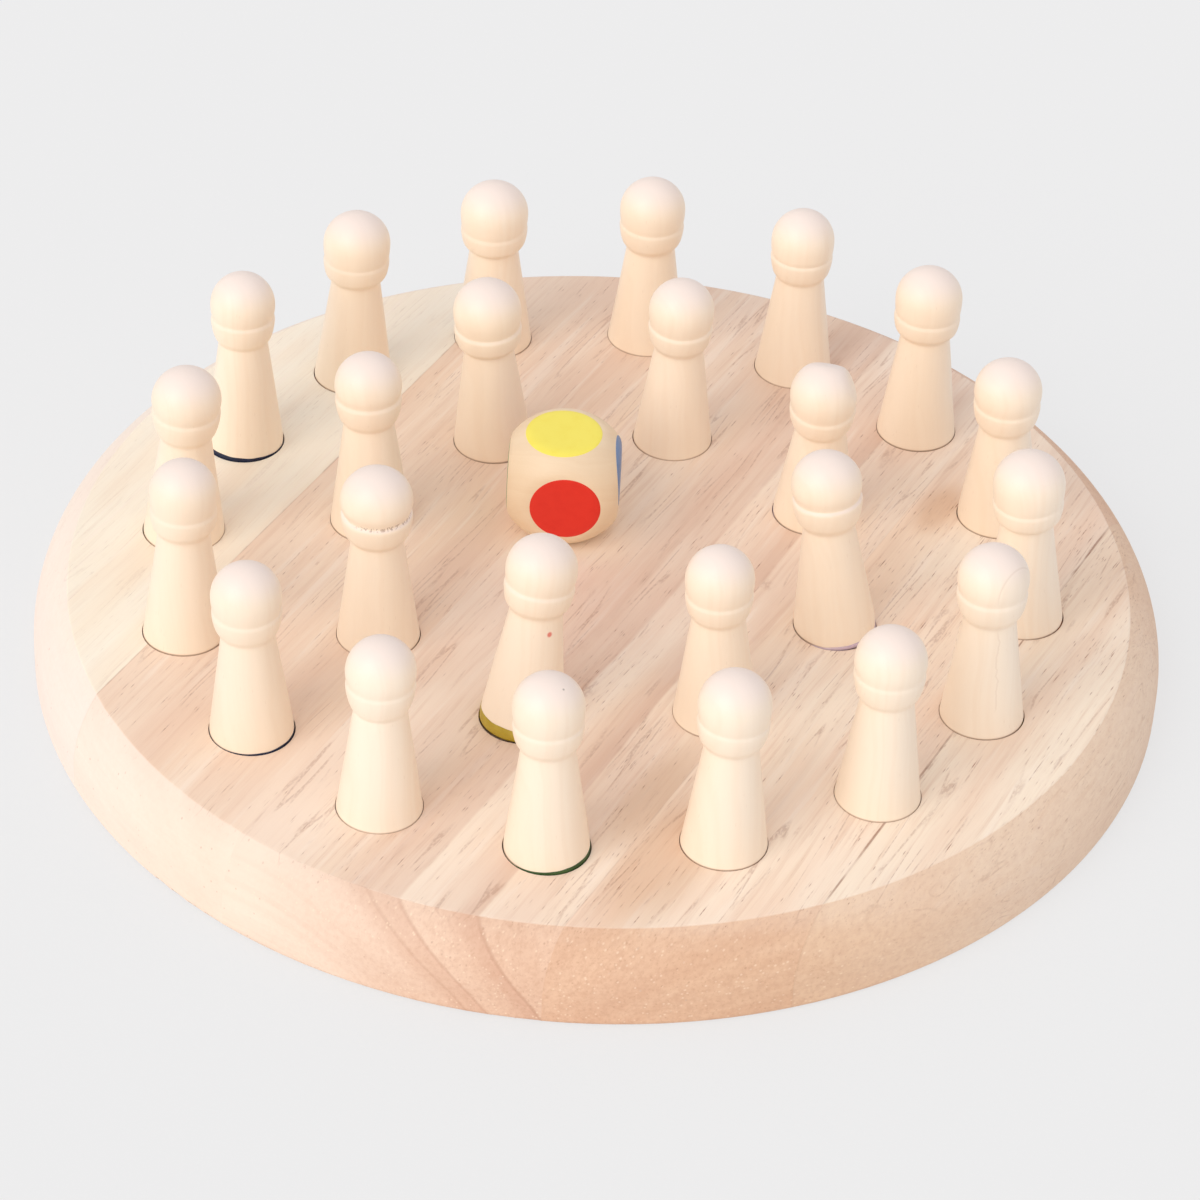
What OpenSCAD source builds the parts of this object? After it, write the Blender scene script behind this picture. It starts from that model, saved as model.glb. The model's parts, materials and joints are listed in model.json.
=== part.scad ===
// Wooden memory game: a round board glued up from staves, two rings of loose turned pegs
// whose painted feet hide in shallow sockets, and one colour die that rests on the board.
// Millimetres. The origin is the middle of the board's underside, +Z is up, and the pegs
// are numbered clockwise, seen from above, from the back left.

/* [Board] */
// Diameter of the board at its widest
board_d = 250; // [230:1:300]
// Thickness of the board
board_t = 20; // [17:0.5:30]
// How far the rounded rim reaches in from the edge
rim_w = 7.8; // [4:0.1:12]
// Depth below the top at which the rim stands upright
rim_h = 13; // [12:0.5:16]
// Rounding between the flat top and the rim
top_edge_r = 0.8; // [0.3:0.1:2]
// Rounding of the lower edge
under_edge_r = 1.5; // [0.5:0.1:3]

/* [Staves] */
// Direction of the grain, turned from the X axis
grain_angle = 63.5; // [0:0.5:180]
// First glue line, measured across the grain from the board's middle
glue_line_1 = -91; // [-105:0.5:-60]
// Second glue line
glue_line_2 = -49; // [-80:0.5:0]
// Third glue line
glue_line_3 = 21.5; // [-30:0.5:60]
// Fourth glue line
glue_line_4 = 71.5; // [40:0.5:105]

/* [Sockets] */
// Flat wood between the outer sockets and the rim
edge_margin = 14.5; // [6:0.1:20]
// Distance from the outer ring of sockets to the inner one
ring_spacing = 39.5; // [28:0.1:42]
// Direction of the first outer peg, turned from the X axis
first_peg_angle = 152.5; // [90:0.1:180]
// Depth of a socket
socket_depth = 2.6; // [1.5:0.1:6]
// Play between a painted foot and its socket, all round
seat_play = 0.2; // [0.15:0.05:0.8]

/* [Pegs] */
// Diameter of the foot
foot_d = 17.8; // [15:0.1:22]
// Height of the straight foot
foot_h = 3.2; // [2:0.1:6]
// Rounding of the foot's lower edge
foot_edge_r = 1; // [0.3:0.1:1.8]
// Height of the foot and the cone up to the neck
body_h = 29; // [20:0.1:40]
// Diameter of the neck, where the cone ends
neck_d = 10.9; // [8:0.1:13]
// Height of the collar from the neck to its lip
collar_h = 6.1; // [4:0.1:10]
// Diameter of the collar's lip
lip_d = 15; // [13.5:0.1:18]
// Radius of the collar's bulged side
collar_curve_r = 17; // [14:1:60]
// Rounding under the collar
collar_edge_r = 1.3; // [0.4:0.1:2]
// Diameter of the ball-shaped head
head_d = 14.9; // [13:0.1:17]
// Height of the middle of the head above the lip, where head and lip meet in a groove
head_rise = 3.1; // [1.5:0.1:4]
// Rounding of the lip's upper edge
lip_edge_r = 0.8; // [0.2:0.05:1.2]
// Depth of the flats worn on one peg's head
worn_depth = 0.7; // [0.3:0.1:1.5]
// How far the loose pegs lean: 0 stands them all upright, 1 is as found
lean_share = 1; // [0:0.05:1]

/* [Paint] */
// Thickness of the coat of paint on a foot
paint_t = 0.1; // [0.05:0.01:0.2]
// Height of the paint on most feet
dip_h = 1.2; // [1.2:0.1:3]
// Height of the paint on the feet that were dipped deeper
deep_dip_h = 2.3; // [1.5:0.1:3]
// Height of the paint on the foot that was dipped deepest
full_dip_h = 3; // [1.5:0.1:3.2]

/* [Die] */
// Size of the die across its flats
die_size = 25; // [18:0.5:30]
// How far the ball that rounds the edges and corners stands out over the flats
die_ball_out = 2.65; // [2:0.05:5]
// Diameter of the colour dot on top
top_dot_d = 16.9; // [10:0.1:17.5]
// Diameter of the other colour dots
dot_d = 15.7; // [10:0.1:17.5]
// Depth of a colour dot in its face
dot_t = 0.2; // [0.1:0.05:0.5]
// Place of the die, to the right of the board's middle
die_x = -9; // [-15:0.5:15]
// Place of the die, behind the board's middle
die_y = 17.9; // [-18:0.1:18]
// Turn of the die
die_turn = -1; // [-45:1:45]

/* [Hidden] */
$fn = 96;
outer_count = 16;
inner_count = 8;
board_r = board_d / 2;
flat_r = board_r - rim_w;
rim_curve_r = (rim_w ^ 2 + rim_h ^ 2) / (2 * rim_w);
foot_r = foot_d / 2;
neck_r = neck_d / 2;
lip_r = lip_d / 2;
head_r = head_d / 2;
lip_h = body_h + collar_h;
head_h = lip_h + head_rise;
coat_r = foot_r + paint_t;
coat_edge_r = foot_edge_r + paint_t;
socket_r = coat_r + seat_play;
socket_floor = board_t - socket_depth;
outer_ring_r = flat_r - edge_margin - socket_r;
inner_ring_r = outer_ring_r - ring_spacing;
outer_step = 360 / outer_count;
inner_step = 360 / inner_count;
// The inner pegs stand midway between the outer ones
inner_first_angle = first_peg_angle - 1.5 * outer_step;
// Slack that lets a cut run clear through a face
cut = 1;
// Room between a leaning foot and its socket
lean_gap = 0.05;
max_lean = atan(2 * seat_play / socket_depth);

glue_lines = [-board_r - cut, glue_line_1, glue_line_2, glue_line_3, glue_line_4, board_r + cut];
stave_count = len(glue_lines) - 1;
stave_rgb = [
    [0.88, 0.77, 0.68], [0.9, 0.79, 0.69], [0.92, 0.81, 0.72], [0.88, 0.76, 0.68], [0.94, 0.86, 0.75]
];

// Leaning pegs of each ring: number, lean, heading
outer_leans = [
    [1, 2.8, 94], [2, 1.5, 45], [3, 2, -110], [6, 1.5, 85], [7, 4.5, -110], [8, 3.1, -160],
    [9, 1.5, 140], [11, 1.2, 70], [12, 1.8, 130], [14, 1.8, -130], [15, 2.2, 80], [16, 2.5, -35]
];
inner_leans = [
    [1, 3.4, -170], [2, 1.2, -58], [3, 8.7, -90], [4, 7.4, 154], [5, 1.5, -165],
    [6, 8, 55], [7, 1, 168], [8, 2, 135]
];
// Peg of the inner ring with a worn head, and the ways its flats face: heading, height
worn_peg = 3;
worn_flats = [[62, 46], [-8, 5]];

// Paint of each foot, in the order of the pegs
outer_paints = [
    "blue", "red", "orange", "yellow", "purple", "red", "green", "orange",
    "yellow", "blue", "red", "green", "purple", "blue", "orange", "yellow"
];
inner_paints = ["green", "red", "purple", "purple", "orange", "yellow", "green", "blue"];
outer_deep_dips = [1, 12, 14];
inner_full_dips = [6];

// Dots of the die: side, paint, diameter, and the turn that brings the top face there
dots = [
    ["top", "yellow", top_dot_d, [0, 0, 0]], ["front", "red", dot_d, [90, 0, 0]],
    ["right", "blue", dot_d, [0, 90, 0]], ["left", "green", dot_d, [0, -90, 0]],
    ["back", "purple", dot_d, [-90, 0, 0]], ["under", "orange", dot_d, [180, 0, 0]]
];

function numbered(name, i) = str(name, i < 10 ? "_0" : "_", i);
function names(name, count) = [for (i = [1:count]) numbered(name, i)];
function dot_name(dot) = str("dot_", dot[0]);
function listed(list, i) = len([for (entry = list) if (entry == i) entry]) > 0;
function lean_of(leans, i) = [for (lean = leans) if (lean[0] == i) lean];
function paint_rgb(paint) =
    paint == "red" ? [0.88, 0.2, 0.15] :
    paint == "yellow" ? [0.95, 0.88, 0.38] :
    paint == "green" ? [0.16, 0.38, 0.18] :
    paint == "blue" ? [0.14, 0.3, 0.55] :
    paint == "purple" ? [0.56, 0.42, 0.62] : [0.93, 0.5, 0.16];

// Half section of a block with its outer lower corner rounded
module rounded_foot_section(r, h, edge_r) {
    difference() {
        square([r, h]);
        difference() {
            translate([r - edge_r, -cut]) square([edge_r + cut, edge_r + cut]);
            translate([r - edge_r, edge_r]) circle(edge_r);
        }
    }
}

// Half section of the board: flat top, one round from the top's edge to upright, both edges eased
module board_section() {
    curve_x = board_r - rim_curve_r;
    ease_rise = rim_h - top_edge_r;
    ease_x = sqrt((rim_curve_r - top_edge_r) ^ 2 - ease_rise ^ 2);
    rim_direction = atan2(ease_rise, ease_x);
    far = rim_w + rim_h;
    difference() {
        rounded_foot_section(board_r, board_t, under_edge_r);
        difference() {
            translate([flat_r, board_t - rim_h]) square([rim_w + cut, rim_h + cut]);
            translate([curve_x, board_t - rim_h]) circle(rim_curve_r);
        }
        difference() {
            translate([curve_x + ease_x, board_t - top_edge_r])
                polygon([[0, 0], [far * cos(rim_direction), far * sin(rim_direction)], [0, far]]);
            translate([curve_x + ease_x, board_t - top_edge_r]) circle(top_edge_r);
        }
    }
}

// Leaves its children in place at every socket of one ring
module ring(count, r, first_angle) {
    for (i = [0:count - 1])
        rotate(first_angle - i * 360 / count) translate([r, 0, 0]) children();
}

module sockets() {
    translate([0, 0, socket_floor]) {
        ring(outer_count, outer_ring_r, first_peg_angle) cylinder(r = socket_r, h = socket_depth + cut);
        ring(inner_count, inner_ring_r, inner_first_angle) cylinder(r = socket_r, h = socket_depth + cut);
    }
}

// One stave of the board, between two glue lines
module stave(i) {
    low = glue_lines[i - 1];
    high = glue_lines[i];
    color(stave_rgb[i - 1])
        difference() {
            intersection() {
                rotate_extrude() board_section();
                rotate(grain_angle) translate([-board_r - cut, low, -cut])
                    cube([board_d + 2 * cut, high - low, board_t + 2 * cut]);
            }
            sockets();
        }
}

// Half section of the collar: a bulged side over a rounded lower corner, and a rounded lip
module collar_section() {
    curve_x = lip_r - collar_curve_r;
    reach = collar_curve_r - collar_edge_r;
    drop = collar_h - collar_edge_r;
    corner_x = curve_x + sqrt(reach ^ 2 - drop ^ 2);
    corner_angle = atan2(-drop, corner_x - curve_x);
    far = 2 * collar_curve_r;
    difference() {
        union() {
            translate([0, body_h]) square([corner_x, collar_h]);
            intersection() {
                translate([corner_x, body_h + collar_edge_r]) circle(collar_edge_r);
                translate([0, body_h]) square([lip_r, collar_h]);
            }
            intersection() {
                translate([curve_x, lip_h]) circle(collar_curve_r);
                translate([curve_x, lip_h])
                    polygon([[0, 0], [far * cos(corner_angle), far * sin(corner_angle)], [far, 0]]);
                translate([0, body_h]) square([lip_r, collar_h]);
            }
        }
        difference() {
            translate([lip_r - lip_edge_r, lip_h - lip_edge_r]) square(lip_edge_r + cut);
            translate([lip_r - lip_edge_r, lip_h - lip_edge_r]) circle(lip_edge_r);
        }
    }
}

// Half section of a peg: foot, cone, collar with its lip, and the ball of the head cut level with the lip
module peg_section() {
    rounded_foot_section(foot_r, foot_h, foot_edge_r);
    polygon([[0, foot_h], [foot_r, foot_h], [neck_r, body_h], [0, body_h]]);
    collar_section();
    intersection() {
        translate([0, head_h]) circle(head_r);
        translate([0, lip_h]) square([head_r, head_rise + head_r]);
    }
}

module peg(worn = false) {
    color([0.98, 0.91, 0.8])
        difference() {
            rotate_extrude() peg_section();
            if (worn)
                for (flat = worn_flats)
                    translate([0, 0, head_h]) rotate([0, 90 - flat[1], flat[0]])
                        translate([-head_r, -head_r, head_r - worn_depth]) cube([head_d, head_d, head_r]);
        }
}

// Coat of paint on a foot, up to where it was dipped
module foot_paint(paint, h) {
    color(paint_rgb(paint))
        rotate_extrude()
            difference() {
                rounded_foot_section(coat_r, h + paint_t, coat_edge_r);
                translate([0, paint_t]) peg_section();
            }
}

// Stands its children in a socket: on its floor, or leaning with the low edge of the foot on it
// and the foot slid back so that its side clears the socket's mouth
module seated(ring_r, angle, leans) {
    lean = len(leans) > 0 ? min(leans[0][1] * lean_share, max_lean) : 0;
    heading = len(leans) > 0 ? leans[0][2] : 0;
    lift = lean > 0 ? (coat_r - coat_edge_r) * sin(lean) + coat_edge_r * (1 - cos(lean)) + lean_gap : 0;
    reach = (socket_depth - lift) * tan(lean) + coat_r * (1 / cos(lean) - 1);
    slide = min(0, seat_play - lean_gap - reach);
    translate([ring_r * cos(angle), ring_r * sin(angle), socket_floor + lift])
        rotate([0, 0, heading]) translate([slide, 0, 0]) rotate([0, lean, 0]) rotate([0, 0, -heading])
            children();
}

module in_outer_socket(i) {
    seated(outer_ring_r, first_peg_angle - (i - 1) * outer_step, lean_of(outer_leans, i)) children();
}

module in_inner_socket(i) {
    seated(inner_ring_r, inner_first_angle - (i - 1) * inner_step, lean_of(inner_leans, i)) children();
}

module outer_peg(i) {
    in_outer_socket(i) translate([0, 0, paint_t]) peg();
}

module outer_paint(i) {
    in_outer_socket(i) foot_paint(outer_paints[i - 1], listed(outer_deep_dips, i) ? deep_dip_h : dip_h);
}

module inner_peg(i) {
    in_inner_socket(i) translate([0, 0, paint_t]) peg(i == worn_peg);
}

module inner_paint(i) {
    in_inner_socket(i) foot_paint(inner_paints[i - 1], listed(inner_full_dips, i) ? full_dip_h : dip_h);
}

// Stands its children where the die rests, with the die's middle as their origin
module on_die_spot() {
    translate([die_x, die_y, board_t + die_size / 2]) rotate(die_turn) children();
}

// Block of the die: a cube whose edges and corners are cut by one ball
module die_block() {
    intersection() {
        cube(die_size, center = true);
        sphere(r = die_size / 2 + die_ball_out);
    }
}

// Room that a colour dot takes in the die's top face
module dot_room(d) {
    translate([0, 0, die_size / 2 - dot_t]) cylinder(d = d, h = dot_t + cut);
}

module die() {
    color([0.95, 0.86, 0.72])
        on_die_spot()
            difference() {
                die_block();
                for (dot = dots)
                    rotate(dot[3]) dot_room(dot[2]);
            }
}

module die_dot(dot) {
    color(paint_rgb(dot[1]))
        on_die_spot()
            intersection() {
                die_block();
                rotate(dot[3]) dot_room(dot[2]);
            }
}

for (i = [1:stave_count]) stave(i);
for (i = [1:outer_count]) outer_peg(i);
for (i = [1:outer_count]) outer_paint(i);
for (i = [1:inner_count]) inner_peg(i);
for (i = [1:inner_count]) inner_paint(i);
die();
for (dot = dots) die_dot(dot);
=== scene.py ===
"""Looks of the wooden memory game: pale hardwood board, turned pegs, painted feet and die."""
import json
import math
from types import SimpleNamespace

import bmesh
import bpy
import numpy as np
from mathutils import Matrix, Vector, noise


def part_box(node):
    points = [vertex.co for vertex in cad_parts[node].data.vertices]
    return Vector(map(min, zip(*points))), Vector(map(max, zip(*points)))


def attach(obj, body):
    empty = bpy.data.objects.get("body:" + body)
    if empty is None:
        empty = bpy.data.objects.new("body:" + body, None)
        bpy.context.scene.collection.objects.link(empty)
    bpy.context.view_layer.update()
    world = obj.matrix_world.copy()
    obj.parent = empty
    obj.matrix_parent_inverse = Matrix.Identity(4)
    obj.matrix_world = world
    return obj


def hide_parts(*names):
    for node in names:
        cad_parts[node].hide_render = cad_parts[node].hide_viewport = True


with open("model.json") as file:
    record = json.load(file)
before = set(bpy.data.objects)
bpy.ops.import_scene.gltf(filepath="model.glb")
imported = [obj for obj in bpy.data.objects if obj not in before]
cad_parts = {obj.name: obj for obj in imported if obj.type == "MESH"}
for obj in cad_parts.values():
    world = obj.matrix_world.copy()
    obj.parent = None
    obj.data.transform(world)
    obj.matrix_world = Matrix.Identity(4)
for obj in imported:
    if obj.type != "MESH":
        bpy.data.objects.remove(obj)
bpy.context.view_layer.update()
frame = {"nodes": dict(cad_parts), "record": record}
BODY_OF = {node: body for body, row in frame["record"]["behaviour"]["bodies"].items() for node in row}

MM = 0.001
TO_MM = (1000, 1000, 1000)


def rgb(red, green, blue):
    """Linear colour, with alpha, of an sRGB colour from 0 to 255."""
    def linear(value):
        share = value / 255
        return share / 12.92 if share <= 0.04045 else ((share + 0.055) / 1.055) ** 2.4
    return linear(red), linear(green), linear(blue), 1.0


# Camera, as the photograph was taken: its aim is measured from the middle of the board's top
CAMERA_DISTANCE = 972.4 * MM
CAMERA_ELEVATION = math.radians(37.52)
CAMERA_ROLL = math.radians(2.81)
CAMERA_LENS = 131.7
CAMERA_SENSOR = 36
CAMERA_NEAR = 0.05
CAMERA_FAR = 50
CAMERA_AIM = Vector((0.3, 0.0, -8.1)) * MM

# Light: an even dome, and wide soft lamps as colour, level, softness, heading and height
DOME_COLOR = (0.96, 0.955, 1.0, 1.0)
DOME_LEVEL = 0.72
LAMPS = {
    "key": ((1.0, 0.965, 0.9), 1.45, 48, 227, 33),
    "fill": ((1.0, 0.96, 0.95), 0.2, 100, 315, 18),
}
BACKGROUND = (0.855, 0.855, 0.855, 1.0)

# Floor, which shows mostly as the plain background
FLOOR_COLOR = (0.86, 0.86, 0.865, 1.0)
FLOOR_PLAIN_SHARE = 0.78
FLOOR_TOOTH = 900.0
FLOOR_SIZE = 12.0
FLOOR_GRID = 8

# Board: its top, its radius, the way its grain runs, and its glue lines from right to left
BOARD_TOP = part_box("stave_03")[1].z
BOARD_TOP_MM = BOARD_TOP / MM
BOARD_R = 125.0
GRAIN_ANGLE = math.radians(63.5)
GLUE_1 = -91.0
GLUE_2 = -49.0
GLUE_3 = 21.5
GLUE_4 = 71.5

# A pale patch that lies across the third glue line, as its place along and across and its half sizes
FRONT_PATCH = ((-97.0, 17.0), (36.0, 15.0))

# Staves. The end grain has a colour and a share of specks at the stave's right side and at its left, the
# pith is across and deep, a glue line has a strength, and a vein a width and a strength
STAVES = {
    "stave_01": {
        "span": (-BOARD_R, GLUE_1), "pith": (-150.0, 60.0), "rings": 0.05, "flecked": 1.0,
        "light": rgb(254, 238, 217), "dark": rgb(246, 220, 197),
        "end": (rgb(237, 206, 176), rgb(233, 196, 162)), "specks": (0.7, 0.8),
        "glue": [(GLUE_1, 0.6)], "veins": [], "pale": [], "stains": [],
        "porous": [((63.0, -92.0), (22.0, 12.0)), ((40.0, -110.0), (34.0, 12.0))],
    },
    "stave_02": {
        "span": (GLUE_1, GLUE_2), "pith": (-96.0, -30.0), "rings": 0.2, "flecked": 1.0,
        "light": rgb(255, 239, 219), "dark": rgb(249, 220, 197),
        "end": (rgb(234, 194, 159), rgb(235, 194, 162)), "specks": (0.9, 1.0),
        "glue": [(GLUE_1, 0.6), (GLUE_2, 0.15)], "veins": [], "pale": [],
        "stains": [((60.0, -55.0), (14.0, 6.0)), ((-78.0, -57.0), (34.0, 14.0))],
        "porous": [
            ((63.0, -90.0), (22.0, 12.0)), ((60.0, -55.0), (12.0, 5.0)), ((-84.0, -51.0), (20.0, 5.0)),
        ],
    },
    "stave_03": {
        "span": (GLUE_2, GLUE_3), "pith": (15.0, -40.0), "rings": 0.09, "flecked": 0.9,
        "light": rgb(253, 235, 215), "dark": rgb(241, 212, 190),
        "end": (rgb(236, 198, 170), rgb(250, 229, 210)), "specks": (0.9, 0.1),
        "glue": [(GLUE_2, 0.12)], "veins": [(-9.7, 0.45, 0.14), (-17.0, 0.5, 0.18), (-32.5, 0.55, 0.24)],
        "pale": [FRONT_PATCH], "stains": [((-62.0, -46.0), (30.0, 8.0))],
        "porous": [
            ((-34.0, -21.0), (20.0, 7.0)), ((-50.0, -38.0), (24.0, 7.0)), ((-84.0, -49.0), (20.0, 5.0)),
        ],
    },
    "stave_04": {
        "span": (GLUE_3, GLUE_4), "pith": (90.0, -60.0), "rings": 0.02, "flecked": 0.75,
        "light": rgb(250, 228, 206), "dark": rgb(240, 208, 184),
        "end": (rgb(249, 227, 208), rgb(252, 234, 219)), "specks": (0.1, 0.1),
        "glue": [(GLUE_4, 0.35)], "veins": [], "pale": [FRONT_PATCH], "stains": [], "porous": [],
    },
    "stave_05": {
        "span": (GLUE_4, BOARD_R), "pith": (60.0, 80.0), "rings": 0.01, "flecked": 0.3,
        "light": rgb(255, 247, 230), "dark": rgb(255, 242, 221),
        "end": (rgb(252, 233, 221), rgb(252, 233, 221)), "specks": (0.1, 0.1),
        "glue": [(GLUE_4, 0.2)], "veins": [], "pale": [], "stains": [], "porous": [],
    },
}

# What sets each stave's grain apart from the others', along, across, deep and from ring to ring
SEED_STEPS = (170.0, 31.0, 13.0)
SEED_RING_STEP = 57.0

# Patterns of the wood: steps per millimetre, offset, detail and roughness. Steps of the board are along,
# across and deep, and those of the pegs and the die are along their own X, Y and Z
PATTERNS = {
    "bend": ((0.012, 0.02, 0.02), (0, 0, 0), 2.0, 0.5),
    "streaks": ((0.016, 0.13, 0.13), (0, 0, 0), 4.0, 0.62),
    "dark_streaks": ((0.03, 0.75, 0.75), (5.2, 1.3, 0.0), 3.0, 0.6),
    "pale_streaks": ((0.022, 0.4, 0.4), (1.2, 7.3, 0.0), 3.0, 0.6),
    "fibres": ((0.08, 2.4, 2.4), (0, 0, 0), 3.0, 0.6),
    "mottle": ((0.02, 0.045, 0.045), (0, 0, 0), 2.0, 0.5),
    "hues": ((0.011, 0.07, 0.07), (9.4, 2.2, 0.0), 2.0, 0.5),
    "gathering": ((0.016, 0.09, 0.09), (3.1, 0.7, 0.2), 3.0, 0.6),
    "ragged": ((0.9, 2.2, 2.2), (0, 0, 0), 2.0, 0.5),
    "threads": ((0.03, 0.45, 0.45), (4.4, 8.1, 0.6), 0.0, 0.5),
    "partings": ((0.05, 0.2, 0.2), (2.0, 5.0, 0.0), 2.0, 0.5),
    "saw_marks": ((0.05, 0.05, 1.6), (0, 0, 0), 2.0, 0.5),
    "clouds": ((0.45, 0.9, 0.9), (0, 0, 0), 3.0, 0.65),
    "pits": ((1.0, 1.9, 1.9), (2.2, 6.1, 0.4), 2.0, 0.5),
    "peg_wander": ((0.09, 0.09, 0.03), (0, 0, 0), 2.0, 0.5),
    "peg_fibres": ((2.2, 2.2, 0.09), (0, 0, 0), 3.0, 0.6),
    "peg_groove_teeth": ((1.9, 1.9, 0.8), (0, 0, 0), 2.0, 0.5),
    "die_wander": ((0.03, 0.1, 0.1), (0, 0, 0), 2.0, 0.5),
    "die_fibres": ((0.12, 3.0, 3.0), (0, 0, 0), 3.0, 0.6),
}

# Other measures of the board's patterns, in millimetres and in steps per millimetre
BEND_REACH = 5.0
BAND_STEPS = 0.13
LINE_STEPS = 0.4
VEIN_BREAK_STEPS = 0.09
VEIN_SHADE_REACH = 6.0
GLUE_WEAR_STEPS = 0.07
GLUE_BEND_SHARE = 0.06
GLUE_HALF_WIDTH = 0.3
FAR_SIDE_FROM = 20.0
FAR_SIDE_TO = 115.0
SPECK_STEPS = (0.4, 1.15, 1.15)
SPECK_BAND_STEPS = 0.22

# Flecks of the pores: length and width, reach of their core, rarity and strength
FLECKS = [
    ((9.0, 0.55), 0.26, 0.98, 1.0),
    ((3.6, 0.45), 0.3, 1.02, 0.8),
    ((28.0, 0.9), 0.17, 1.0, 0.6),
]

# Colours of the board's grain and marks
HONEY = rgb(247, 217, 187)
FAR_SIDE = rgb(228, 196, 180)
FIBRE = rgb(208, 166, 138)
DARK_STREAK = rgb(204, 154, 122)
PALE_STREAK = rgb(255, 241, 226)
RING_LINE = rgb(196, 146, 116)
VEIN_SHADE = rgb(208, 158, 132)
VEIN_BROWN = rgb(170, 118, 90)
PALE_PATCH = rgb(254, 233, 214)
STAIN = rgb(206, 156, 114)
GLUE_BROWN = rgb(130, 66, 34)
PORE = rgb(138, 66, 30)
END_BAND = rgb(198, 145, 111)
END_CLOUD = rgb(200, 150, 119)
PIT = rgb(176, 124, 94)
PALE_SPECK = rgb(255, 232, 206)
DARK_SPECK = rgb(158, 104, 78)

# Peg profile, millimetres from the underside of the wood
FOOT_R = 8.9
FOOT_H = 3.2
FOOT_EDGE_R = 1.0
NECK_R = 5.45
BODY_H = 29.0
COLLAR_H = 6.1
COLLAR_EDGE_R = 1.3
COLLAR_CURVE_R = 17.0
LIP_R = 7.5
LIP_EDGE_R = 0.8
LIP_EDGE_TURN = 70
LIP_INSET = 0.1
LIP_H = BODY_H + COLLAR_H
HEAD_R = 7.45
HEAD_RISE = 3.1
HEAD_EDGE_R = 0.5
HEAD_EDGE_TURN = 60
HEAD_SIDE_POINTS = 24
HEAD_H = LIP_H + HEAD_RISE
PEG_SIDES = 96
OUTLINE_STEP = 0.05
OUTLINE_SOFTNESS = 0.4
NECK_SOFTNESS = 0.85
NECK_REACH = 1.6
OUTLINE_TOLERANCE = 0.006
LONGEST_RING_GAP = 1.4

# Hand turning: spread of the neck's height, the groove, the ovalness and the lip's tilt, and uneven sides
NECK_SPREAD = 0.3
GROOVE_SPREAD = (0.75, 1.1)
OVAL_SPREAD = 0.004
LIP_TILT_SPREAD = 0.02
LIP_TILT_REACH = 2.5
UNEVENNESS = 0.05
UNEVEN_ROUND = 1.3
UNEVEN_ALONG = 0.12
UNEVEN_FULL_R = 4

# Form of each head: its size, how much its side draws in to the lip, and the lip's own height
HEAD_FORMS = {
    "inner_peg_01": (1.04, 0.45, -0.6), "inner_peg_02": (1.0, 0.3, -0.2), "inner_peg_03": (1.0, 0.3, -0.1),
    "inner_peg_04": (1.03, 0.6, 0.1), "inner_peg_05": (0.98, 0.25, 0.0), "inner_peg_06": (1.02, 0.3, 0.0),
    "inner_peg_07": (1.05, 0.7, 0.2), "inner_peg_08": (1.0, 0.35, 0.6), "outer_peg_01": (0.98, 0.25, 0.3),
    "outer_peg_02": (1.03, 0.2, -0.5), "outer_peg_03": (1.05, 0.2, -0.4), "outer_peg_04": (1.02, 0.2, -0.3),
    "outer_peg_05": (0.98, 0.15, -0.2), "outer_peg_06": (1.02, 0.2, -0.7), "outer_peg_07": (1.01, 0.3, 0.4),
    "outer_peg_08": (1.05, 0.2, -0.7), "outer_peg_09": (1.02, 0.35, 0.3), "outer_peg_10": (1.01, 0.25, 0.7),
    "outer_peg_11": (1.02, 0.25, -0.1), "outer_peg_12": (1.0, 0.25, -0.2), "outer_peg_13": (0.98, 0.25, 0.7),
    "outer_peg_14": (1.0, 0.25, 0.1), "outer_peg_15": (0.98, 0.3, -0.7), "outer_peg_16": (1.03, 0.3, 0.7),
}

# Wood of the pegs: what sets each one's grain apart, its rings, pores and turning marks, and its colours
PEG_SEED_STEPS = (91.0, 57.0)
PEG_RING_SLANT = 0.5
PEG_RING_WANDER = 7.0
PEG_BAND_STEPS = 0.4
PEG_PORE_STEPS = (1.6, 1.6, 0.22)
TURNING_STEPS = 3.5
PEG_TONES = (rgb(254, 238, 217), rgb(252, 234, 211))
PEG_BAND = rgb(249, 229, 205)
PEG_FIBRE = rgb(232, 206, 176)
PEG_PORE = rgb(196, 158, 124)
# Pinkish tint of the faces that look up: end grain, and partly painted cool light from above
PEG_END_GRAIN_AND_TOP_LIGHT = rgb(247, 231, 223)

# Painted contact shade round the feet at the sockets' mouths, brown, from full to none above the board's top
CONTACT_SHADE = rgb(146, 94, 52)
CONTACT_SHADE_FULL = 0.05
CONTACT_SHADE_NONE = 0.4

# Worn head: depth of its flats, and the ways they face as heading and height
WORN_PEG = "inner_peg_03"
WORN_DEPTH = 0.75
WORN_FLATS = [(80, 52), (4, 24)]
WORN_SOFTNESS = 0.35

# Lined peg: the side and heights of a faint wandering line up its body, and on its head the painted shade of
# a shallow dent, at its edge and beyond it, as the way it faces, its distance out and its width
LINED_PEG = "outer_peg_09"
BODY_LINE = rgb(188, 146, 112)
BODY_LINE_HEADING = math.radians(-75)
BODY_LINE_LOW = 8.0
BODY_LINE_HALF_WIDTH = 0.28
BODY_LINE_WANDER = 2.4
BODY_LINE_WANDER_STEPS = 0.22
BODY_LINE_FADE = 2
DENT_EDGE_SHADE = rgb(206, 176, 150)
DENT_SIDE_SHADE = rgb(236, 218, 202)
DENT_WAY = (0.752, -0.658, -0.036)
DENT_OUT = 5.54
DENT_WIDTH = 0.25

# A ragged dark line in one peg's groove: its height over the lip, and its reach
GROOVE_MARK_PEG = "inner_peg_07"
GROOVE_MARK = rgb(140, 102, 80)
GROOVE_MARK_ABOVE_LIP = 0.25
GROOVE_MARK_H = LIP_H + HEAD_FORMS[GROOVE_MARK_PEG][2] + GROOVE_MARK_ABOVE_LIP
GROOVE_MARK_REACH = 0.6

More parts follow.
